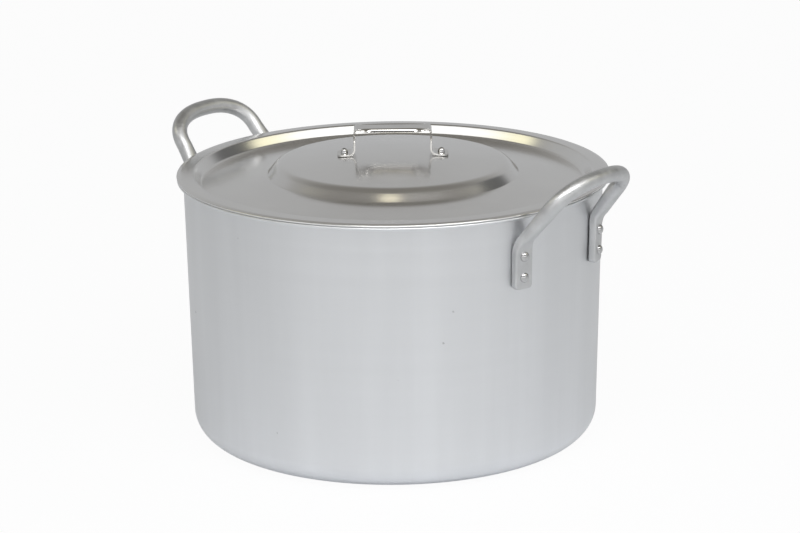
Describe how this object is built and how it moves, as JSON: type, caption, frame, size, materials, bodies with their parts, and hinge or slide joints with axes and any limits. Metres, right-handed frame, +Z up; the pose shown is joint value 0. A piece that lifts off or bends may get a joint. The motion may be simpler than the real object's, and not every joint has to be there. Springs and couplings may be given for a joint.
{
  "type": "cooking pot",
  "caption": "Large round spun-metal catering pot with riveted bar loop handles and a lift-off stepped lid with a riveted strap handle, for boiling and stewing in quantity.",
  "frame": {"origin": "centre of the flat base, on the surface that the pot stands on", "axes": "+Z up along the pot's axis, +X towards one side handle, -X towards the other"},
  "size_m": [0.496, 0.4128, 0.2984],
  "materials": {
    "pot_satin": "satin spun, faint turning lines and small scratches",
    "lid_polished": "polished spun, soft mirror with fine turning lines",
    "strap_bright": "bright rolled strip",
    "bar_forged": "tumbled satin bar, slightly mottled at the forged tabs",
    "rivet_bright": "bright domed heads"
  },
  "bodies": {
    "pot": {"pot_body": "pot_satin", "side_handle_right": "bar_forged", "side_handle_left": "bar_forged", "side_rivet_right_front_low": "rivet_bright", "side_rivet_right_front_high": "rivet_bright", "side_rivet_right_rear_low": "rivet_bright", "side_rivet_right_rear_high": "rivet_bright", "side_rivet_left_front_low": "rivet_bright", "side_rivet_left_front_high": "rivet_bright", "side_rivet_left_rear_low": "rivet_bright", "side_rivet_left_rear_high": "rivet_bright"},
    "lid": {"lid": "lid_polished", "lid_handle": "strap_bright", "lid_rivet_a": "rivet_bright", "lid_rivet_b": "rivet_bright"}
  },
  "joints": [
    {"name": "lid_lift", "type": "slide", "parent": "pot", "child": "lid", "axis": [0, 0, 1], "range_m": [0, 0.25]}
  ]
}
